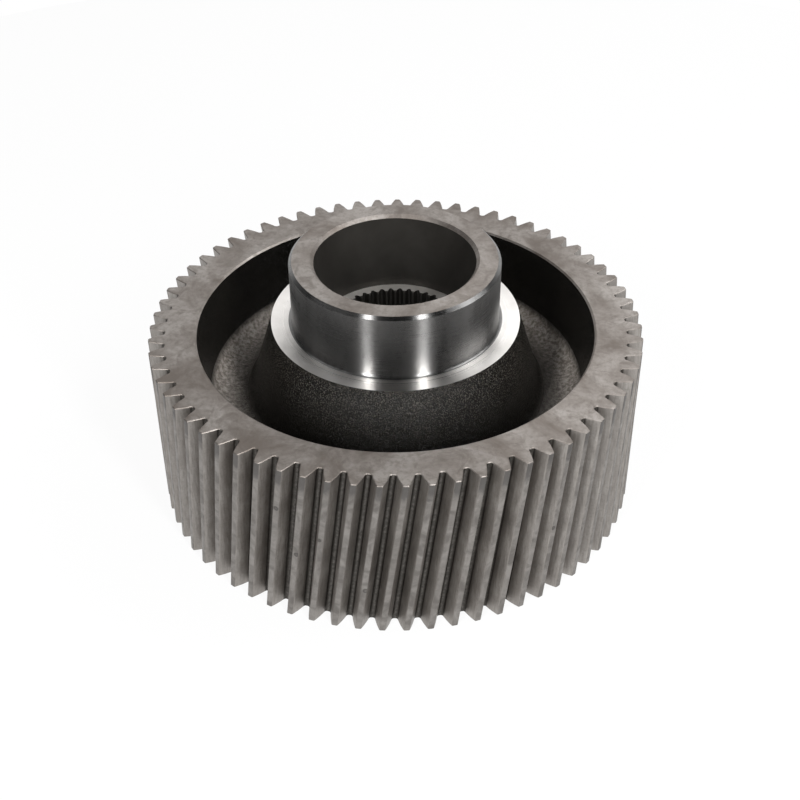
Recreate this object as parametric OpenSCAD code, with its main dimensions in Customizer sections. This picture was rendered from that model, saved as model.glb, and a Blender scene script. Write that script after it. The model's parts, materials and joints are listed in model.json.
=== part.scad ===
// Helical transmission gear with a tall ground journal, a dished forged web and an internal spline.
// Millimetres, +Z along the axis. The lower end face of the rim lies on Z = 0.

/* [Teeth] */
// Number of teeth round the rim
tooth_count = 67; // [60:1:90]
// Normal module of the teeth
tooth_module = 3.5; // [3.2:0.1:4]
// Pressure angle of the teeth, normal to the flank
pressure_angle = 20; // [17.5:0.5:22.5]
// Helix angle, right-hand
helix_angle = 7.1; // [0:0.1:15]
// Profile shift, in modules
profile_shift = 0.25; // [0:0.05:0.4]
// Depth of the tooth gap below the pitch circle, in modules, before the shift
dedendum = 1.25; // [1.15:0.05:1.35]
// Radius between a flank and the bottom of the gap, in modules
root_fillet = 0.36; // [0.2:0.02:0.38]
// Turn of the teeth about the axis at the lower face, in degrees
tooth_turn = -2.1; // [-2.6:0.1:2.6]
// Chamfer where the tip cylinder meets the end faces
tip_chamfer = 0.5; // [0.2:0.1:1.5]

/* [Rim] */
// Width of the rim between its two end faces
face_width = 91; // [70:1:110]
// Thickness of the rim below the tooth gaps, at its end faces
rim_t = 15.65; // [12:0.05:18]
// Chamfer on the inner edges of the rim
rim_chamfer = 0.8; // [0.2:0.1:2]
// Draft of the forged wall inside the rim, in degrees
rim_draft = 8; // [2:0.5:12]

/* [Web] */
// Thickness of the web at its floor
web_t = 20; // [14:1:28]
// Height of the middle of the web above the lower face
web_mid_h = 42; // [38:1:50]
// Radius where the web runs into the rim
web_rim_fillet = 11; // [4:1:14]
// Radius where the web runs into the domed boss
web_boss_fillet = 10; // [4:1:14]
// Flare of the domed boss from its shoulder down to the web, in degrees
boss_flare = 17; // [10:1:20]

/* [Journal] */
// Diameter of the ground journal
journal_d = 103; // [98:0.5:108]
// Height of the journal's end above the lower face
journal_top_h = 129.5; // [118:0.5:140]
// Chamfer at the end of the journal
journal_chamfer = 1.5; // [0.5:0.25:3]
// Diameter of the machined shoulder round the foot of the journal
shoulder_d = 123.5; // [118:0.5:128]
// Height of the shoulder above the lower face
shoulder_h = 95.7; // [92:0.1:102]
// Radius in the corner between journal and shoulder
journal_fillet = 1.6; // [0.5:0.1:2.5]

/* [Lower hub] */
// Diameter of the flat lower end of the hub
lower_hub_d = 116; // [110:1:122]
// How far the lower end of the hub lies inside the lower face
lower_hub_step = 1; // [0.5:0.5:4]

/* [Bore and spline] */
// Diameter of the plain bore at each end of the spline
pilot_d = 78.8; // [74:0.1:84]
// Chamfer at the mouths of the plain bores
pilot_chamfer = 1.6; // [0.5:0.1:2.5]
// Depth of the upper plain bore, from the end of the journal
upper_pilot_depth = 41.5; // [20:0.5:60]
// Depth of the lower plain bore, from the lower end of the hub
lower_pilot_depth = 18; // [8:1:30]
// Number of spline grooves
spline_count = 46; // [40:1:48]
// Module of the spline
spline_module = 1.5; // [1.4:0.05:1.55]
// Pressure angle of the spline
spline_pressure_angle = 30; // [30:2.5:37.5]
// Depth of a spline groove outside its pitch circle, in modules
spline_root = 0.8; // [0.7:0.05:1.1]
// Reach of a spline tooth inside its pitch circle, in modules
spline_tip = 0.85; // [0.5:0.05:0.95]
// Chamfer at both ends of the spline teeth
spline_chamfer = 0.6; // [0.2:0.1:1]

/* [Hidden] */
steel_ground = [0.62, 0.60, 0.58];

// How far a cutter runs past the face that it leaves by
clear = 1;
// Largest share of the web's floor that its two fillets may take
floor_share = 0.95;
// Sides of each turned surface
turn_fn = 180;
// How far a spline groove's cutter starts inside the tips of the spline teeth
groove_lead = 0.3;
// Steps along a flank, round a root fillet, along the helix and along a groove's side
flank_steps = 4;
fillet_steps = 3;
helix_steps = 2;
groove_steps = 3;

// Transverse sizes of the teeth
transverse_angle = atan(tan(pressure_angle) / cos(helix_angle));
pitch_r = tooth_count * tooth_module / cos(helix_angle) / 2;
base_r = pitch_r * cos(transverse_angle);
tip_r = pitch_r + tooth_module * (1 + profile_shift);
root_r = pitch_r - tooth_module * (dedendum - profile_shift);
fillet_r = root_fillet * tooth_module;
tooth_pitch = 360 / tooth_count;
// Half of a tooth's angle at the pitch circle
pitch_half = (PI / 2 / cos(helix_angle) + 2 * profile_shift * tan(pressure_angle))
    * tooth_module / (2 * pitch_r) * 180 / PI;
// Turn of a tooth in each millimetre of width
helix_rate = tan(helix_angle) / pitch_r * 180 / PI;

// Heights of the web's two faces
web_top_h = web_mid_h + web_t / 2;
web_low_h = web_mid_h - web_t / 2;
rim_r = root_r - rim_t;
wall_lean = tan(rim_draft);
boss_lean = tan(boss_flare);
shoulder_r = shoulder_d / 2;
lower_hub_r = lower_hub_d / 2;
journal_r = journal_d / 2;
pilot_r = pilot_d / 2;
spline_pitch_r = spline_count * spline_module / 2;
spline_root_r = spline_pitch_r + spline_root * spline_module;
spline_tip_r = spline_pitch_r - spline_tip * spline_module;
spline_base_r = spline_pitch_r * cos(spline_pressure_angle);
spline_top_h = journal_top_h - upper_pilot_depth;
spline_low_h = lower_hub_step + lower_pilot_depth;

// Involute of an angle, in degrees
function inv(a) = tan(a) * 180 / PI - a;
// Pressure angle of an involute from base circle b at radius r
function angle_at(b, r) = acos(min(1, b / r));
// Point at radius r and angle a from +Y
function polar(r, a) = [r * sin(a), r * cos(a)];

// Half of a gap's angle at radius r
function gap_half(r) = tooth_pitch / 2 - pitch_half - inv(transverse_angle) + inv(angle_at(base_r, r));

// Rounds corner b between points a and c with radius r, in n steps
function rounded(a, b, c, r, n = 6) =
    let (
        u = (a - b) / norm(a - b),
        v = (c - b) / norm(c - b),
        half = acos(u * v) / 2,
        centre = b + (u + v) / norm(u + v) * r / sin(half),
        start = b + u * r / tan(half),
        end = b + v * r / tan(half),
        a0 = atan2(start[1] - centre[1], start[0] - centre[0]),
        turn = atan2(end[1] - centre[1], end[0] - centre[0]) - a0,
        sweep = turn > 180 ? turn - 360 : turn < -180 ? turn + 360 : turn
    )
    [for (i = [0 : n]) centre + r * [cos(a0 + sweep * i / n), sin(a0 + sweep * i / n)]];

// Web face between its foot at the boss and its heel at the rim, with a fillet at each.
// The two fillets share the floor, and shrink together where it is too narrow for both.
function web_face(boss_edge, foot, heel, rim_edge) =
    let (
        boss_run = web_boss_fillet / tan(45 + boss_flare / 2),
        rim_run = web_rim_fillet / tan(45 + rim_draft / 2),
        share = min(1, floor_share * (heel[0] - foot[0]) / (boss_run + rim_run))
    )
    concat(
        rounded(boss_edge, foot, heel, web_boss_fillet * share),
        rounded(foot, heel, rim_edge, web_rim_fillet * share)
    );

// A list in the opposite order
function backwards(list) = [for (i = [len(list) - 1 : -1 : 0]) list[i]];
// Points of a side mirrored across the Y axis, in the opposite order
function mirrored(side) = [for (p = backwards(side)) [-p[0], p[1]]];

// Outline of one tooth gap, from beyond the tip down one flank, round the root and back up
module gap_outline() {
    fillet_c = root_r + fillet_r;
    slope = angle_at(base_r, fillet_c);
    room = fillet_c * sin(gap_half(fillet_c));
    fillet_x = max(0.02, room - fillet_r / cos(slope));
    flank_low = fillet_c - fillet_r * sin(slope);
    outer_r = tip_r + clear;
    flank = [for (i = [0 : flank_steps])
        let (r = outer_r + (flank_low - outer_r) * i / flank_steps)
        polar(r, gap_half(r))];
    fillet = [for (i = [1 : fillet_steps])
        let (a = slope + (90 - slope) * i / fillet_steps)
        [fillet_x + fillet_r * cos(a), fillet_c - fillet_r * sin(a)]];
    side = concat(flank, fillet);
    polygon(concat(side, mirrored(side)));
}

// Cutter for all the tooth gaps, twisted along the helix
module tooth_gaps() {
    height = face_width + 2 * clear;
    translate([0, 0, -clear])
        rotate(tooth_turn - helix_rate * clear)
            linear_extrude(height = height, twist = -helix_rate * height, slices = helix_steps, segments = 0)
                for (i = [0 : tooth_count - 1])
                    rotate((i + 0.5) * tooth_pitch - 90)
                        gap_outline();
}

// Half section of the turned and forged body, before its teeth and spline are cut
module body_section() {
    upper_foot = [shoulder_r + boss_lean * (shoulder_h - web_top_h), web_top_h];
    upper_heel = [rim_r - wall_lean * (face_width - web_top_h), web_top_h];
    lower_heel = [rim_r - wall_lean * web_low_h, web_low_h];
    lower_foot = [lower_hub_r + boss_lean * (web_low_h - lower_hub_step), web_low_h];
    journal_foot = [journal_r, shoulder_h];
    polygon(concat(
        [
            [pilot_r + pilot_chamfer, lower_hub_step],
            [pilot_r, lower_hub_step + pilot_chamfer],
            [pilot_r, spline_low_h],
            [spline_tip_r + spline_chamfer, spline_low_h],
            [spline_tip_r, spline_low_h + spline_chamfer],
            [spline_tip_r, spline_top_h - spline_chamfer],
            [spline_tip_r + spline_chamfer, spline_top_h],
            [pilot_r, spline_top_h],
            [pilot_r, journal_top_h - pilot_chamfer],
            [pilot_r + pilot_chamfer, journal_top_h],
            [journal_r - journal_chamfer, journal_top_h],
            [journal_r, journal_top_h - journal_chamfer]
        ],
        rounded([journal_r, journal_top_h], journal_foot, [shoulder_r, shoulder_h], journal_fillet, 3),
        [[shoulder_r, shoulder_h]],
        web_face([shoulder_r, shoulder_h], upper_foot, upper_heel, [rim_r, face_width]),
        [
            [rim_r - wall_lean * rim_chamfer, face_width - rim_chamfer],
            [rim_r + rim_chamfer, face_width],
            [tip_r - tip_chamfer, face_width],
            [tip_r, face_width - tip_chamfer],
            [tip_r, tip_chamfer],
            [tip_r - tip_chamfer, 0],
            [rim_r + rim_chamfer, 0],
            [rim_r - wall_lean * rim_chamfer, rim_chamfer]
        ],
        backwards(web_face([lower_hub_r, lower_hub_step], lower_foot, lower_heel, [rim_r, 0])),
        [[lower_hub_r, lower_hub_step]]
    ));
}

// Outline of one spline groove, from just inside the tooth tips out to the groove's bottom
module groove_outline() {
    half_pitch = 90 / spline_count;
    inner_r = spline_tip_r - groove_lead;
    side = [for (i = [0 : groove_steps])
        let (
            r = inner_r + (spline_root_r - inner_r) * i / groove_steps,
            a = half_pitch + inv(spline_pressure_angle) - inv(angle_at(spline_base_r, r))
        )
        polar(r, a)];
    polygon(concat(side, mirrored(side)));
}

// Cutter for the spline grooves
module spline_grooves() {
    translate([0, 0, spline_low_h - clear])
        linear_extrude(height = spline_top_h - spline_low_h + 2 * clear)
            for (i = [0 : spline_count - 1])
                rotate(i * 360 / spline_count)
                    groove_outline();
}

module gear() {
    color(steel_ground)
        difference() {
            rotate_extrude($fn = turn_fn)
                body_section();
            tooth_gaps();
            spline_grooves();
        }
}

gear();
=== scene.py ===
"""Looks of a helical transmission gear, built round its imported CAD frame. Metres, +Z along the axis."""

import json
import math

import bmesh
import bpy
import numpy as np
from mathutils import Matrix, Vector


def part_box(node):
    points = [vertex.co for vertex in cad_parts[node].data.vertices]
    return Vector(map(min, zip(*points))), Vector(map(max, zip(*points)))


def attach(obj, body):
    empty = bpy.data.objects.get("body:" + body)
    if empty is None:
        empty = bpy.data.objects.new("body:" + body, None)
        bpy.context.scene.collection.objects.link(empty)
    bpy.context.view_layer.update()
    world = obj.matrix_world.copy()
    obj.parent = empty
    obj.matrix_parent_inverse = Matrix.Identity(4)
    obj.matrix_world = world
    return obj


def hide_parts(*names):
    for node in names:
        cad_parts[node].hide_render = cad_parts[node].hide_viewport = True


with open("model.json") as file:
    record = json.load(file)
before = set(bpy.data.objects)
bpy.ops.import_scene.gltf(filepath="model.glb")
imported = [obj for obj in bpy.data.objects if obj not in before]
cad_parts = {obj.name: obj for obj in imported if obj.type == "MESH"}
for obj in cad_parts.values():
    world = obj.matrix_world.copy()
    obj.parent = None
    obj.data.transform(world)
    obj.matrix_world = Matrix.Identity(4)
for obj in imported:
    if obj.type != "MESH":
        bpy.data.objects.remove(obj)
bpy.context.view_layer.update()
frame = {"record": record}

MM = 0.001
MOUNTS = {m["name"]: m for m in frame["record"]["mounts"]}


def mount_radius(name):
    """Radius of a round mount, in metres."""
    return MOUNTS[name]["dims"]["r_mm"] * MM


# Sizes that the frame gives
TIP_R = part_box("gear")[1].x
TOP_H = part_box("gear")[1].z
JOURNAL_R = mount_radius("journal")
PILOT_R = mount_radius("upper_pilot")
PITCH_R = mount_radius("teeth")
FACE_H = MOUNTS["teeth"]["dims"]["length_mm"] * MM
SHOULDER_H = MOUNTS["shoulder"]["pos_m"][2]
LOWER_HUB_H = MOUNTS["lower_hub_end"]["pos_m"][2]
SPLINE_R = mount_radius("spline")
SPLINE_MID = MOUNTS["spline"]["pos_m"][2]
SPLINE_LENGTH = MOUNTS["spline"]["dims"]["length_mm"] * MM

# Teeth
TOOTH_COUNT = 67
MODULE = 3.5 * MM
PRESSURE_ANGLE = math.radians(20)
HELIX_ANGLE = math.radians(7.1)
PROFILE_SHIFT = 0.25
DEDENDUM = 1.25
ROOT_FILLET = 0.36 * MODULE
TOOTH_TURN = math.radians(-2.1)
TIP_ROUND = 0.45 * MM
END_CHAMFER = 0.35 * MM

# Rim, web and hub
RIM_R = 99 * MM
RIM_CHAMFER = 0.8 * MM
RIM_DRAFT = math.radians(8)
WEB_T = 20 * MM
WEB_MID_H = 42 * MM
WEB_TOP = WEB_MID_H + WEB_T / 2
WEB_LOW = WEB_MID_H - WEB_T / 2
WEB_RIM_FILLET = 11 * MM
WEB_BOSS_FILLET = 10 * MM
BOSS_FLARE = math.radians(17)
SHOULDER_R = 61.75 * MM
JOURNAL_CHAMFER = 1.5 * MM
JOURNAL_FILLET = 1.6 * MM
LOWER_HUB_R = 58 * MM
PILOT_CHAMFER = 1.6 * MM

# Spline
SPLINE_COUNT = 46
SPLINE_MODULE = 1.5 * MM
SPLINE_ANGLE = math.radians(30)
SPLINE_ROOT = 0.8 * SPLINE_MODULE
SPLINE_TIP = 0.85 * SPLINE_MODULE
SPLINE_CHAMFER = 0.6 * MM

# Steps of the mesh, and the angle from which an edge is sharp
HELIX_RINGS = 13
BODY_SIDES = 469
BORE_SIDES = 14 * SPLINE_COUNT
ARC_STEPS = 10
SHARP_ANGLE = math.radians(32)

# The web floor's grey band of painted sheen: the radii between which it fades in, and how far it climbs the
# fillets
WEB_INNER_R = 74 * MM
WEB_OUTER_R = 89 * MM
FLOOR_FULL = 4 * MM
FLOOR_FADED = 8 * MM

# Camera, fitted to the photograph: distances in metres, angles in degrees, lens in pixels
IMAGE_SIDE = 800
SENSOR_WIDTH = 36
LENS_PX = 1384.1
CAMERA_DISTANCE = 5.8883 * TIP_R
CAMERA_HEIGHT = 38.199
CAMERA_ROLL = -0.476
AIM = Vector((0.0157 * TIP_R, 0, 0.3426 * TIP_R))

# Floor: its size, its colour, and the share of plain white over what the lamps light on it
FLOOR_R = 0.7
FLOOR_SIDES = 96
FLOOR_COLOUR = (0.9, 0.9, 0.9, 1)
FLOOR_ROUGH = 0.9
FLOOR_WHITE = 0.92

# World: a dim room in front, a backdrop behind and a sweep below, with edges as parts of a direction
ROOM_LEVEL = 0.033
ROOM_EDGE = 0.5
BACKDROP_EDGE = 0.8
SWEEP_LOW = -0.02
SWEEP_HIGH = 0.02

# Lamps: azimuth and height in degrees, width and length in metres, power in watts
LAMP_DISTANCE = 1.5
LAMP_TARGET = Vector((0, 0, 0.09))
LAMPS = {
    "left_box": (-29, 26, 0.14, 1.0, 17),
    "right_box": (28.5, 26, 0.18, 1.0, 21.5),
    "left_fill": (-120, 60, 0.7, 0.7, 2.2),
    "right_fill": (98, 46, 0.8, 0.8, 11),
    "right_back": (158, 40, 0.9, 0.9, 3),
}

# Slots of the gear's mesh
TEETH, FACES, GROUND, TURNED, FORGED, BORE, SPLINE = range(7)


# Involute geometry

def inv(a):
    """Involute of an angle, in radians."""
    return math.tan(a) - a


def angle_at(base, r):
    """Pressure angle at radius r of an involute from a base circle."""
    return math.acos(min(1, base / r))


def polar(r, a):
    """Point at radius r and angle a from +X."""
    return [r * math.cos(a), r * math.sin(a)]


def bezier(a, b, c, steps):
    """Points of a quadratic curve from a to c, drawn towards b."""
    t = np.linspace(0, 1, steps + 1)[:, None]
    return (1 - t) ** 2 * np.array(a) + 2 * t * (1 - t) * np.array(b) + t ** 2 * np.array(c)


def tooth_outline():
    """One transverse tooth from gap centre to gap centre, as points about +X."""
    slant = math.atan(math.tan(PRESSURE_ANGLE) / math.cos(HELIX_ANGLE))
    base = PITCH_R * math.cos(slant)
    root = PITCH_R - MODULE * (DEDENDUM - PROFILE_SHIFT)
    pitch_half = (math.pi / 2 / math.cos(HELIX_ANGLE)
                  + 2 * PROFILE_SHIFT * math.tan(PRESSURE_ANGLE)) * MODULE / (2 * PITCH_R)

    def gap_half(r):
        return math.pi / TOOTH_COUNT - pitch_half - inv(slant) + inv(angle_at(base, r))

    centre_r = root + ROOT_FILLET
    lean = angle_at(base, centre_r)
    fillet_x = max(0.02 * MM, centre_r * math.sin(gap_half(centre_r)) - ROOT_FILLET / math.cos(lean))
    flank_low = centre_r - ROOT_FILLET * math.sin(lean)
    gap = []
    for i in range(6):
        a = math.pi / 2 - (math.pi / 2 - lean) * i / 6
        gap.append([fillet_x + ROOT_FILLET * math.cos(a), centre_r - ROOT_FILLET * math.sin(a)])
    flank_high = TIP_R - TIP_ROUND
    for r in np.linspace(flank_low, flank_high, 8):
        gap.append([r * math.sin(gap_half(r)), r * math.cos(gap_half(r))])
    corner = [TIP_R * math.sin(gap_half(TIP_R)), TIP_R * math.cos(gap_half(TIP_R))]
    land_a = gap_half(TIP_R) + TIP_ROUND / TIP_R
    land = [TIP_R * math.sin(land_a), TIP_R * math.cos(land_a)]
    gap += bezier(gap[-1], corner, land, 3)[1:].tolist()
    turn = -math.pi / TOOTH_COUNT
    side = []
    for x, y in gap:
        r, a = math.hypot(x, y), math.atan2(x, y) + turn
        side.append([r, a])
    crown = [[TIP_R, side[-1][1] * k] for k in (0.5, 0, -0.5)]
    other = [[r, -a] for r, a in reversed(side)]
    return np.array([polar(r, a) for r, a in side + crown + other])


def all_round(outline, count):
    """The outline repeated round the axis, as one ring of points."""
    turns = 2 * math.pi * np.arange(count) / count
    return np.concatenate([turned(outline, a) for a in turns])


def turned(points, angle):
    """Points turned about the axis."""
    c, s = math.cos(angle), math.sin(angle)
    return points @ np.array([[c, s], [-s, c]])


def shrunk(ring, inset):
    """A closed ring moved inwards, across its own edge, by the inset."""
    along = np.roll(ring, -1, 0) - np.roll(ring, 1, 0)
    along /= np.linalg.norm(along, axis=1)[:, None]
    inward = np.stack([-along[:, 1], along[:, 0]], 1)
    return ring + inward * inset


def groove_ring():
    """The spline's transverse outline, one ring of points."""
    base = SPLINE_R * math.cos(SPLINE_ANGLE)
    root = SPLINE_R + SPLINE_ROOT
    tip = SPLINE_R - SPLINE_TIP

    def half(r):
        return math.pi / 2 / SPLINE_COUNT + inv(SPLINE_ANGLE) - inv(angle_at(base, r))

    side = [[root, 0.4 * half(root)]]
    side += [[r, half(r)] for r in np.linspace(root - 0.12 * MM, tip, 5)]
    land = math.pi / SPLINE_COUNT
    side += [[tip, half(tip) + (land - half(tip)) * 0.5]]
    points = [[r, -a] for r, a in reversed(side)] + side
    return all_round(np.array([polar(r, a) for r, a in points]), SPLINE_COUNT)


def circle(r, sides):
    """A ring of points on a circle."""
    a = 2 * math.pi * np.arange(sides) / sides
    return np.stack([r * np.cos(a), r * np.sin(a)], 1)


# Turned section

def rounded(a, b, c, radius, steps=ARC_STEPS):
    """Arc that rounds corner b between points a and c."""
    a, b, c = (np.array(p, float) for p in (a, b, c))
    u = (a - b) / np.linalg.norm(a - b)
    v = (c - b) / np.linalg.norm(c - b)
    half = math.acos(float(u @ v)) / 2
    centre = b + (u + v) / np.linalg.norm(u + v) * radius / math.sin(half)
    start = b + u * radius / math.tan(half) - centre
    end = b + v * radius / math.tan(half) - centre
    first = math.atan2(start[1], start[0])
    sweep = (math.atan2(end[1], end[0]) - first + math.pi) % (2 * math.pi) - math.pi
    turns = first + sweep * np.linspace(0, 1, steps + 1)
    return [[centre[0] + radius * math.cos(t), centre[1] + radius * math.sin(t)] for t in turns]


def spaced(a, b, steps):
    """Points between a and b, without a and b."""
    a, b = np.array(a, float), np.array(b, float)
    return [(a + (b - a) * i / steps).tolist() for i in range(1, steps)]


class Shell:
    """A closed mesh made of rings round the axis."""

    def __init__(self):
        self.points = []
        self.faces = []
        self.slots = []
        self.count = 0

    def ring(self, flat, height):
        """Adds a ring and gives the numbers of its points."""
        xyz = np.column_stack([flat, np.full(len(flat), height)])
        self.points.append(xyz)
        first = self.count
        self.count += len(flat)
        return np.arange(first, self.count)

    def join(self, a, b, slot):
        """Quads between two rings with as many points."""
        a2, b2 = np.roll(a, -1), np.roll(b, -1)
        self.faces += np.stack([a, a2, b2, b], 1).tolist()
        self.slots += [slot] * len(a)

    def zip(self, a, b, slot):
        """Triangles between two rings with any number of points, taken in order of angle."""
        where = np.concatenate(self.points)
        turns = [np.unwrap(np.arctan2(where[ring, 1], where[ring, 0])) for ring in (a, b)]
        shift = np.round((turns[0][0] - turns[1][0]) / (2 * math.pi)) * 2 * math.pi
        turns[1] = turns[1] + shift
        start = int(np.argmin(np.abs(turns[1] - turns[0][0])))
        b = np.roll(b, -start)
        angle_b = np.concatenate([turns[1][start:], turns[1][:start] + 2 * math.pi])
        angle_a = np.append(turns[0], turns[0][0] + 2 * math.pi)
        angle_b = np.append(angle_b, angle_b[0] + 2 * math.pi)
        a, b = np.append(a, a[0]), np.append(b, b[0])
        i = j = 0
        while i < len(a) - 1 or j < len(b) - 1:
            if j == len(b) - 1 or (i < len(a) - 1 and angle_a[i + 1] <= angle_b[j + 1]):
                self.faces.append([int(a[i]), int(a[i + 1]), int(b[j])])
                i += 1
            else:
                self.faces.append([int(a[i]), int(b[j + 1]), int(b[j])])
                j += 1
            self.slots.append(slot)

    def turn(self, section, sides, slots):
        """Rings for a turned stretch of the section. Gives the first and last ring."""
        rings = [self.ring(circle(r, sides), h) for r, h in section]
        for k in range(len(rings) - 1):
            self.join(rings[k], rings[k + 1], slots[k] if isinstance(slots, list) else slots)
        return rings[0], rings[-1]

    def build(self, name, materials):
        """Makes the mesh, with its faces turned outwards and its sharp edges marked."""
        mesh = bpy.data.meshes.new(name)
        mesh.from_pydata(np.concatenate(self.points).tolist(), [], self.faces)
        mesh.polygons.foreach_set("material_index", np.array(self.slots, np.int32))
        work = bmesh.new()
        work.from_mesh(mesh)
        bmesh.ops.recalc_face_normals(work, faces=work.faces)
        work.to_mesh(mesh)
        work.free()
        mesh.shade_smooth()
        mesh.set_sharp_from_angle(angle=SHARP_ANGLE)
        for material in materials:
            mesh.materials.append(material)
        obj = bpy.data.objects.new(name, mesh)
        bpy.context.scene.collection.objects.link(obj)
        return obj


def web_stretch(edge, foot, heel, rim_edge):
    """Section of one web face, from the boss's edge to the rim's edge."""
    boss = rounded(edge, foot, heel, WEB_BOSS_FILLET)
    rim = rounded(foot, heel, rim_edge, WEB_RIM_FILLET)
    return [edge] + spaced(edge, boss[0], 8) + boss + rim + spaced(rim[-1], rim_edge, 7) + [rim_edge]


def make_gear(materials):
    """The whole gear as one closed mesh."""
    shell = Shell()
    helix = math.tan(HELIX_ANGLE) / PITCH_R
    profile = all_round(tooth_outline(), TOOTH_COUNT)

    def tooth_ring(height, inset=0):
        ring = shrunk(profile, inset) if inset else profile
        return shell.ring(turned(ring, TOOTH_TURN + helix * height), height)

    # Toothed surface, with a small chamfer round each tooth end
    low_face = tooth_ring(0, END_CHAMFER)
    heights = np.linspace(END_CHAMFER, FACE_H - END_CHAMFER, HELIX_RINGS)
    rings = [low_face] + [tooth_ring(h) for h in heights] + [tooth_ring(FACE_H, END_CHAMFER)]
    for k in range(len(rings) - 1):
        shell.join(rings[k], rings[k + 1], FACES if k in (0, len(rings) - 2) else TEETH)
    high_face = rings[-1]

    # Upper side: rim face, recess, shoulder, journal and its end
    foot = [SHOULDER_R + math.tan(BOSS_FLARE) * (SHOULDER_H - WEB_TOP), WEB_TOP]
    heel = [RIM_R - math.tan(RIM_DRAFT) * (FACE_H - WEB_TOP), WEB_TOP]
    face_edge = [RIM_R + RIM_CHAMFER, FACE_H]
    rim_edge = [RIM_R - math.tan(RIM_DRAFT) * RIM_CHAMFER, FACE_H - RIM_CHAMFER]
    shoulder_edge = [SHOULDER_R, SHOULDER_H]
    recess = list(reversed(web_stretch(shoulder_edge, foot, heel, rim_edge)))
    shoulder = spaced(shoulder_edge, [JOURNAL_R + JOURNAL_FILLET, SHOULDER_H], 4)
    fillet = rounded(shoulder_edge, [JOURNAL_R, SHOULDER_H], [JOURNAL_R, TOP_H], JOURNAL_FILLET, 6)
    journal_end = [JOURNAL_R, TOP_H - JOURNAL_CHAMFER]
    journal = spaced(fillet[-1], journal_end, 6) + [journal_end]
    hub_edge = [JOURNAL_R - JOURNAL_CHAMFER, TOP_H]
    section = [face_edge] + recess + shoulder + fillet + journal + [hub_edge]
    slots = [FACES] + [FORGED] * (len(recess) - 1) + [TURNED] * (len(shoulder) + 1)
    slots += [GROUND] * (len(fillet) + len(journal))
    first, last = shell.turn(section, BODY_SIDES, slots)
    shell.zip(high_face, first, FACES)

    # Bore: mouth, upper pilot, ledge, spline, lower pilot
    spline_top = SPLINE_MID + SPLINE_LENGTH / 2
    spline_low = SPLINE_MID - SPLINE_LENGTH / 2
    mouth = [[PILOT_R + PILOT_CHAMFER, TOP_H], [PILOT_R, TOP_H - PILOT_CHAMFER]]
    upper = mouth + spaced(mouth[1], [PILOT_R, spline_top], 6) + [[PILOT_R, spline_top]]
    slots = [FACES] + [BORE] * (len(upper) - 2)
    top_ring, ledge_ring = shell.turn(upper, BORE_SIDES, slots)
    shell.zip(last, top_ring, FACES)
    grooves = groove_ring()
    tip = SPLINE_R - SPLINE_TIP
    reach = np.linalg.norm(grooves, axis=1)
    eased = grooves * (np.maximum(reach, tip + SPLINE_CHAMFER) / reach)[:, None]
    spline_rings = [shell.ring(eased, spline_top), shell.ring(grooves, spline_top - SPLINE_CHAMFER),
                    shell.ring(grooves, spline_low + SPLINE_CHAMFER), shell.ring(eased, spline_low)]
    shell.zip(ledge_ring, spline_rings[0], SPLINE)
    for k in range(3):
        shell.join(spline_rings[k], spline_rings[k + 1], BORE)
    low_mouth = [[PILOT_R, LOWER_HUB_H + PILOT_CHAMFER], [PILOT_R + PILOT_CHAMFER, LOWER_HUB_H]]
    lower = [[PILOT_R, spline_low]] + spaced([PILOT_R, spline_low], low_mouth[0], 3) + low_mouth
    slots = [BORE] * (len(lower) - 2) + [FACES]
    low_ledge, low_mouth_ring = shell.turn(lower, BORE_SIDES, slots)
    shell.zip(spline_rings[3], low_ledge, SPLINE)

    # Lower side: hub end, recess and rim face
    low_foot = [LOWER_HUB_R + math.tan(BOSS_FLARE) * (WEB_LOW - LOWER_HUB_H), WEB_LOW]
    low_heel = [RIM_R - math.tan(RIM_DRAFT) * WEB_LOW, WEB_LOW]
    low_rim_edge = [RIM_R - math.tan(RIM_DRAFT) * RIM_CHAMFER, RIM_CHAMFER]
    section = web_stretch([LOWER_HUB_R, LOWER_HUB_H], low_foot, low_heel, low_rim_edge)
    section.append([RIM_R + RIM_CHAMFER, 0])
    slots = [FORGED] * (len(section) - 2) + [FACES]
    first, last = shell.turn(section, BODY_SIDES, slots)
    shell.zip(low_mouth_ring, first, FACES)
    shell.zip(last, low_face, FACES)
    return shell.build("gear_body", materials)


# Materials

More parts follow.
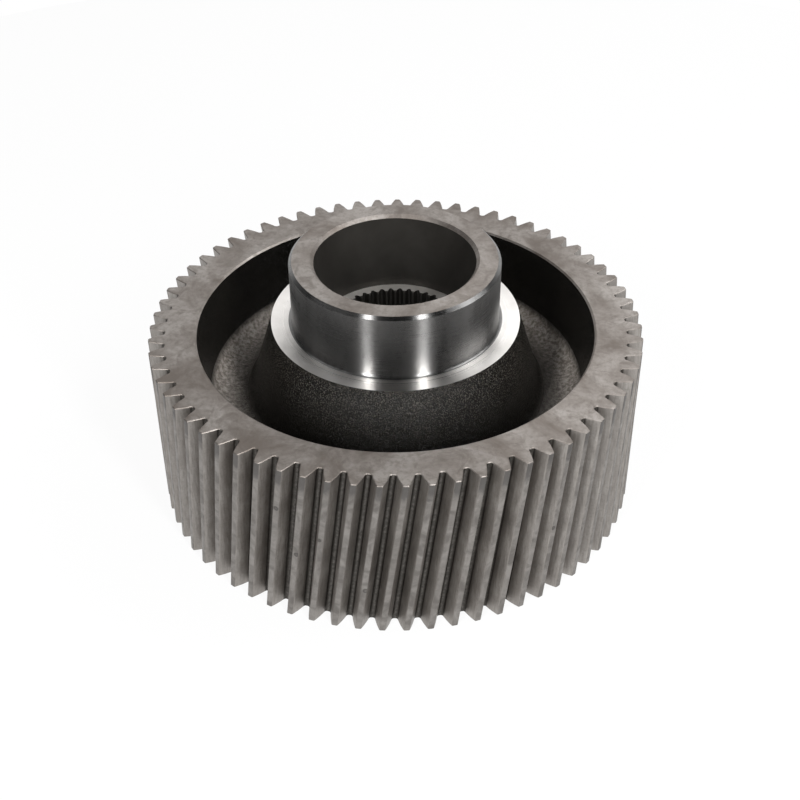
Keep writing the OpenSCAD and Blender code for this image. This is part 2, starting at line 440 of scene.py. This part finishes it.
class Nodes:
    """A material's node tree, with short calls for what the materials here share."""

    def __init__(self, name):
        self.material = bpy.data.materials.new(name)
        self.material.use_nodes = True
        self.tree = self.material.node_tree
        self.shader = self.tree.nodes["Principled BSDF"]
        self.place = self.add("ShaderNodeTexCoord").outputs["Object"]

    def add(self, kind, **values):
        """Adds a node. Values are its properties, or its inputs where no property has the name."""
        node = self.tree.nodes.new(kind)
        for key, value in values.items():
            if hasattr(node, key):
                setattr(node, key, value)
            else:
                self.feed(node.inputs[key.replace("_", " ")], value)
        return node

    def feed(self, socket, value):
        """Links an output to a socket, or sets the socket to a value."""
        if isinstance(value, bpy.types.NodeSocket):
            self.tree.links.new(value, socket)
        else:
            socket.default_value = value

    def scaled(self, scale):
        """The object's own coordinates, scaled along each axis."""
        node = self.add("ShaderNodeMapping")
        self.feed(node.inputs["Vector"], self.place)
        node.inputs["Scale"].default_value = scale
        return node.outputs["Vector"]

    def noise(self, scale, detail=4, rough=0.55, vector=None, distortion=0):
        """A noise pattern from 0 to 1."""
        node = self.add("ShaderNodeTexNoise", Scale=scale, Detail=detail, Roughness=rough,
                        Distortion=distortion)
        self.feed(node.inputs["Vector"], vector or self.place)
        return node.outputs["Fac"]

    def grains(self, scale):
        """Distance from the nearest of many scattered points, for round grains and spots."""
        node = self.add("ShaderNodeTexVoronoi", Scale=scale)
        self.feed(node.inputs["Vector"], self.place)
        return node.outputs["Distance"]

    def between(self, value, low, high, out_low=0.0, out_high=1.0):
        """Maps a value from one range to another, clamped."""
        node = self.add("ShaderNodeMapRange")
        self.feed(node.inputs["Value"], value)
        node.inputs["From Min"].default_value = low
        node.inputs["From Max"].default_value = high
        node.inputs["To Min"].default_value = out_low
        node.inputs["To Max"].default_value = out_high
        return node.outputs["Result"]

    def math(self, operation, a, b=0.0):
        """A sum or another operation on two values."""
        node = self.add("ShaderNodeMath", operation=operation)
        self.feed(node.inputs[0], a)
        self.feed(node.inputs[1], b)
        return node.outputs["Value"]

    def mix(self, share, a, b):
        """A mix of two colours."""
        node = self.add("ShaderNodeMix", data_type="RGBA")
        self.feed(node.inputs["Factor"], share)
        self.feed(node.inputs[6], a if isinstance(a, bpy.types.NodeSocket) else (*a, 1))
        self.feed(node.inputs[7], b if isinstance(b, bpy.types.NodeSocket) else (*b, 1))
        return node.outputs[2]

    def bump(self, height, distance, strength=1.0, under=None):
        """Bump from a height pattern, over another bump."""
        node = self.add("ShaderNodeBump", Strength=strength, Distance=distance)
        self.feed(node.inputs["Height"], height)
        if under is not None:
            self.feed(node.inputs["Normal"], under)
        return node.outputs["Normal"]

    def radius_and_height(self):
        """Distance from the axis and height above the lower face."""
        parts = self.add("ShaderNodeSeparateXYZ")
        self.feed(parts.inputs[0], self.place)
        x2 = self.math("MULTIPLY", parts.outputs["X"], parts.outputs["X"])
        y2 = self.math("MULTIPLY", parts.outputs["Y"], parts.outputs["Y"])
        return self.math("SQRT", self.math("ADD", x2, y2)), parts.outputs["Z"]

    def round_axis(self, height_scale, radius_scale):
        """Height and distance from the axis, scaled, for marks that run round the axis."""
        radius, height = self.radius_and_height()
        joined = self.add("ShaderNodeCombineXYZ")
        self.feed(joined.inputs["X"], self.math("MULTIPLY", radius, radius_scale))
        self.feed(joined.inputs["Z"], self.math("MULTIPLY", height, height_scale))
        return joined.outputs[0]

    def finish(self, colour, rough, normal=None, metal=1.0, streak=0.0):
        """Sets the shader. Streak is the stretch of the highlight across marks round the axis."""
        shader = self.shader
        self.feed(shader.inputs["Base Color"], colour)
        self.feed(shader.inputs["Roughness"], rough)
        shader.inputs["Metallic"].default_value = metal
        if normal is not None:
            self.feed(shader.inputs["Normal"], normal)
        if streak:
            shader.inputs["Anisotropic"].default_value = streak
            shader.inputs["Anisotropic Rotation"].default_value = 0.25
            tangent = self.add("ShaderNodeTangent", direction_type="RADIAL", axis="Z")
            self.feed(shader.inputs["Tangent"], tangent.outputs["Tangent"])
        return self.material


def teeth_steel():
    """Ground flanks, painted shade beside the roots with a lighter painted highlight along each root land,
    and darker tip lands with spots and stains.
    """
    n = Nodes("gear_teeth")
    radius, height = n.radius_and_height()
    root = PITCH_R - MODULE * (DEDENDUM - PROFILE_SHIFT)
    along = n.noise(1.0, 5, 0.6, n.scaled((1100, 1100, 30)))
    cloud = n.noise(45, 4, 0.6)
    blotch = n.noise(140, 4, 0.6, distortion=0.8)
    speck = n.noise(700, 3, 0.7)
    tone = n.mix(n.between(cloud, 0.35, 0.7), (0.300, 0.279, 0.260), (0.400, 0.378, 0.355))
    tone = n.mix(n.between(along, 0.38, 0.68, 0, 0.6), tone, (0.205, 0.188, 0.172))
    tone = n.mix(n.between(speck, 0.5, 0.7, 0, 0.3), tone, (0.17, 0.156, 0.143))
    # Painted shade in the tooth roots: dark on the root fillets, less dark along the root land as a painted
    # highlight
    root_land_highlight = n.mix(n.between(speck, 0.44, 0.62), (0.05, 0.047, 0.043), (0.125, 0.116, 0.107))
    dark = n.mix(n.between(speck, 0.4, 0.65), (0.030, 0.027, 0.023), (0.062, 0.057, 0.051))
    root_shade = n.mix(n.between(radius, root + 0.001 * MM, root + 0.03 * MM), root_land_highlight, dark)
    tone = n.mix(n.between(radius, root + 1.5 * MM, root + 0.7 * MM, 0, 0.92), tone, root_shade)
    land = n.mix(n.between(blotch, 0.35, 0.65), (0.17, 0.158, 0.147), (0.29, 0.273, 0.257))
    edge = n.math("ADD", height, n.math("MULTIPLY", blotch, 22 * MM))
    land = n.mix(n.between(edge, FACE_H + 1 * MM, FACE_H + 5 * MM, 0, 0.8), land, (0.105, 0.1, 0.096))
    far = n.grains(48)
    ring = n.math("MULTIPLY", n.between(far, 0.075, 0.06), n.between(far, 0.01, 0.05, 0.35, 0.8))
    land = n.mix(ring, land, (0.075, 0.07, 0.066))
    tone = n.mix(n.between(radius, TIP_R - 0.4 * MM, TIP_R - 0.2 * MM), tone, land)
    rough = n.between(cloud, 0.3, 0.7, 0.42, 0.55)
    normal = n.bump(along, 0.00007)
    return n.finish(tone, rough, normal)


def face_steel():
    """Turned end faces: warm satin grey, mottled with stains and fine rings."""
    n = Nodes("gear_faces")
    rings = n.noise(1.0, 3, 0.7, n.round_axis(0, 2600))
    cloud = n.noise(30, 6, 0.62, distortion=0.7)
    blot = n.noise(85, 5, 0.65, distortion=1.2)
    fine = n.noise(420, 4, 0.7)
    tone = n.mix(n.between(cloud, 0.38, 0.62), (0.205, 0.178, 0.158), (0.375, 0.348, 0.325))
    tone = n.mix(n.between(blot, 0.52, 0.66, 0, 0.6), tone, (0.16, 0.137, 0.12))
    tone = n.mix(n.between(fine, 0.45, 0.7, 0, 0.6), tone, (0.19, 0.168, 0.15))
    rough = n.between(cloud, 0.3, 0.7, 0.58, 0.48)
    normal = n.bump(fine, 0.00003, under=n.bump(rings, 0.00002))
    return n.finish(tone, rough, normal, streak=0.3)


def ground_steel():
    """The ground journal: bright, with fine marks round the axis."""
    n = Nodes("gear_ground")
    lines = n.noise(1.0, 3, 0.75, n.round_axis(5200, 5200))
    haze = n.noise(70, 4, 0.6, n.scaled((1, 1, 0.45)))
    tone = n.mix(n.between(haze, 0.35, 0.7), (0.150, 0.149, 0.147), (0.208, 0.206, 0.203))
    rough = n.math("ADD", n.between(haze, 0.3, 0.75, 0.25, 0.29), n.between(lines, 0.4, 0.7, 0, 0.04))
    normal = n.bump(lines, 0.000005)
    return n.finish(tone, rough, normal, streak=1.0)


def turned_steel():
    """The faced shoulder: bright, with rings from the lathe."""
    n = Nodes("gear_turned")
    lines = n.noise(1.0, 3, 0.75, n.round_axis(2600, 2600))
    haze = n.noise(90, 4, 0.6)
    tone = n.mix(n.between(haze, 0.35, 0.7), (0.65, 0.63, 0.607), (0.76, 0.74, 0.717))
    rough = n.between(lines, 0.35, 0.7, 0.27, 0.35)
    normal = n.bump(lines, 0.000008)
    return n.finish(tone, rough, normal, streak=1.0)


def forged_steel():
    """The forged web and boss: near black, with painted glints high on the boss and a grey band of painted
    sheen on the web floor.
    """
    n = Nodes("gear_forged")
    radius, height = n.radius_and_height()
    outward = n.between(radius, WEB_INNER_R, WEB_OUTER_R)
    above = n.between(height, WEB_TOP + FLOOR_FADED, WEB_TOP + FLOOR_FULL)
    below = n.between(height, WEB_LOW - FLOOR_FADED, WEB_LOW - FLOOR_FULL)
    floor = n.math("MULTIPLY", outward, n.math("MULTIPLY", above, below))
    grain = n.math("ADD", n.between(n.grains(1150), 0.6, 0.1), n.noise(1500, 3, 0.6))
    boss = n.math("MULTIPLY", n.between(radius, WEB_INNER_R + 5 * MM, WEB_INNER_R - 3 * MM),
                  n.between(height, WEB_TOP + 12 * MM, SHOULDER_H - 2 * MM))
    # Painted glints: pale specks in the base colour high on the boss, standing in for the sparkle of its
    # grains in the light
    painted_glint = n.math("MULTIPLY", n.between(n.noise(1600, 2, 0.5), 0.53, 0.68), boss)
    swell = n.noise(150, 3, 0.5)
    dust = n.noise(60, 4, 0.6)
    sheen_mottle = n.noise(500, 4, 0.65)
    dark = n.mix(n.between(dust, 0.35, 0.7), (0.0034, 0.0031, 0.0024), (0.0066, 0.0060, 0.0048))
    # Painted sheen: a mottled grey band on the web floor and its fillets, standing in for the reflection of
    # the lamps and backdrop there
    grey = n.mix(n.between(sheen_mottle, 0.4, 0.62), (0.165, 0.143, 0.123), (0.440, 0.400, 0.360))
    tone = n.mix(floor, n.mix(painted_glint, dark, (0.076, 0.068, 0.057)), grey)
    rough = n.between(floor, 0, 1, 0.26, 0.36)
    normal = n.bump(grain, 0.00024, under=n.bump(swell, 0.0003))
    n.shader.inputs["Specular IOR Level"].default_value = 0.3
    return n.finish(tone, rough, normal, metal=0.0)


def bore_steel():
    """The plain bore and the spline grooves: dull dark grey-brown, with faint stains."""
    n = Nodes("gear_bore")
    stain = n.noise(30, 5, 0.62, n.scaled((1, 1, 0.6)), distortion=0.6)
    fine = n.noise(500, 3, 0.6)
    tone = n.mix(n.between(stain, 0.36, 0.68), (0.030, 0.0275, 0.024), (0.045, 0.0415, 0.037))
    rough = n.between(stain, 0.3, 0.7, 0.42, 0.52)
    normal = n.bump(fine, 0.00005)
    return n.finish(tone, rough, normal, metal=0.5)


def spline_steel():
    """The ledge above the spline: clean cut steel."""
    n = Nodes("gear_spline")
    cloud = n.noise(120, 4, 0.6)
    fine = n.noise(600, 3, 0.6)
    tone = n.mix(n.between(cloud, 0.35, 0.7), (0.66, 0.63, 0.59), (0.82, 0.79, 0.75))
    rough = n.between(cloud, 0.3, 0.7, 0.4, 0.5)
    normal = n.bump(fine, 0.00003)
    return n.finish(tone, rough, normal, metal=0.5)


# Stage, lights and camera

def around(azimuth, height, distance, target):
    """Point at a distance from the target, azimuth 0 in front of the gear and 90 to its right."""
    a, e = math.radians(azimuth), math.radians(height)
    return target + distance * Vector((math.sin(a) * math.cos(e), -math.cos(a) * math.cos(e), math.sin(e)))


def softbox(name, azimuth, height, width, length, power):
    """A soft rectangular lamp that looks at the gear."""
    data = bpy.data.lights.new(name, "AREA")
    data.shape = "RECTANGLE"
    data.size, data.size_y = width, length
    data.energy = power
    lamp = bpy.data.objects.new(name, data)
    lamp.location = around(azimuth, height, LAMP_DISTANCE, LAMP_TARGET)
    lamp.rotation_mode = "QUATERNION"
    lamp.rotation_quaternion = (LAMP_TARGET - lamp.location).to_track_quat("-Z", "Y")
    bpy.context.scene.collection.objects.link(lamp)


def operate(tree, operation, a, b):
    """An operation on two outputs of a node tree."""
    node = tree.nodes.new("ShaderNodeMath")
    node.operation = operation
    tree.links.new(a, node.inputs[0])
    tree.links.new(b, node.inputs[1])
    return node.outputs["Value"]


def seen_directly(tree):
    """Two outputs: 1 for camera, glossy and transmission rays, and 1 for camera rays alone."""
    rays = tree.nodes.new("ShaderNodeLightPath").outputs
    total = operate(tree, "MAXIMUM", rays["Is Camera Ray"], rays["Is Glossy Ray"])
    return operate(tree, "MAXIMUM", total, rays["Is Transmission Ray"]), rays["Is Camera Ray"]


def make_floor():
    """A round white floor that keeps a faint shadow."""
    mesh = bpy.data.meshes.new("floor")
    edge = circle(FLOOR_R, FLOOR_SIDES)
    rim = np.column_stack([edge, np.zeros(FLOOR_SIDES)])
    mesh.from_pydata(rim.tolist(), [], [list(range(FLOOR_SIDES))])
    floor = bpy.data.objects.new("floor", mesh)
    bpy.context.scene.collection.objects.link(floor)
    material = bpy.data.materials.new("floor_white")
    material.use_nodes = True
    tree = material.node_tree
    shader = tree.nodes["Principled BSDF"]
    shader.inputs["Base Color"].default_value = FLOOR_COLOUR
    shader.inputs["Roughness"].default_value = FLOOR_ROUGH
    glow = tree.nodes.new("ShaderNodeEmission")
    glow.inputs["Strength"].default_value = 1.0
    blend = tree.nodes.new("ShaderNodeMixShader")
    share = tree.nodes.new("ShaderNodeMath")
    share.operation = "MULTIPLY"
    share.inputs[1].default_value = FLOOR_WHITE
    tree.links.new(seen_directly(tree)[0], share.inputs[0])
    tree.links.new(share.outputs["Value"], blend.inputs["Fac"])
    tree.links.new(shader.outputs["BSDF"], blend.inputs[1])
    tree.links.new(glow.outputs["Emission"], blend.inputs[2])
    tree.links.new(blend.outputs["Shader"], tree.nodes["Material Output"].inputs["Surface"])
    mesh.materials.append(material)


def make_world():
    """A dim room with a white backdrop behind the gear and a white sweep below, which metal sees too."""
    world = bpy.data.worlds.new("studio")
    bpy.context.scene.world = world
    world.use_nodes = True
    tree = world.node_tree
    background = tree.nodes["Background"]
    background.inputs["Color"].default_value = (1, 1, 1, 1)
    direction = tree.nodes.new("ShaderNodeTexCoord")
    parts = tree.nodes.new("ShaderNodeSeparateXYZ")
    tree.links.new(direction.outputs["Generated"], parts.inputs[0])

    def fade(axis, low, high, out_low, out_high):
        """A smooth change of strength along an axis of the direction."""
        node = tree.nodes.new("ShaderNodeMapRange")
        node.interpolation_type = "SMOOTHSTEP"
        tree.links.new(parts.outputs[axis], node.inputs["Value"])
        for name, value in zip(("From Min", "From Max", "To Min", "To Max"), (low, high, out_low, out_high)):
            node.inputs[name].default_value = value
        return node.outputs["Result"]

    behind = fade("Y", ROOM_EDGE, BACKDROP_EDGE, ROOM_LEVEL, 1)
    sweep = fade("Z", SWEEP_LOW, SWEEP_HIGH, 1, 0)
    seen, by_camera = seen_directly(tree)
    white = operate(tree, "MULTIPLY", seen, operate(tree, "MAXIMUM", by_camera, sweep))
    tree.links.new(operate(tree, "MAXIMUM", behind, white), background.inputs["Strength"])


def make_camera():
    """The camera, at the photograph's viewing angle."""
    data = bpy.data.cameras.new("camera")
    data.sensor_fit = "AUTO"
    data.sensor_width = SENSOR_WIDTH
    data.lens = LENS_PX / IMAGE_SIDE * SENSOR_WIDTH
    data.clip_start, data.clip_end = 0.01, 50
    camera = bpy.data.objects.new("camera", data)
    bpy.context.scene.collection.objects.link(camera)
    e, roll = math.radians(CAMERA_HEIGHT), math.radians(CAMERA_ROLL)
    back = Vector((0, -math.cos(e), math.sin(e)))
    side = Vector((1, 0, 0))
    up = back.cross(side)
    right = math.cos(roll) * side + math.sin(roll) * up
    top = math.cos(roll) * up - math.sin(roll) * side
    turn = Matrix((right, top, back)).transposed()
    camera.matrix_world = Matrix.Translation(AIM + back * CAMERA_DISTANCE) @ turn.to_4x4()
    bpy.context.scene.camera = camera


MATERIALS = [teeth_steel(), face_steel(), ground_steel(), turned_steel(), forged_steel(), bore_steel(),
             spline_steel()]
gear = make_gear(MATERIALS)
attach(gear, "root")
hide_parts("gear")

make_floor()
make_world()
make_camera()
for lamp_name, lamp_values in LAMPS.items():
    softbox(lamp_name, *lamp_values)

bpy.context.scene.view_settings.view_transform = "Standard"
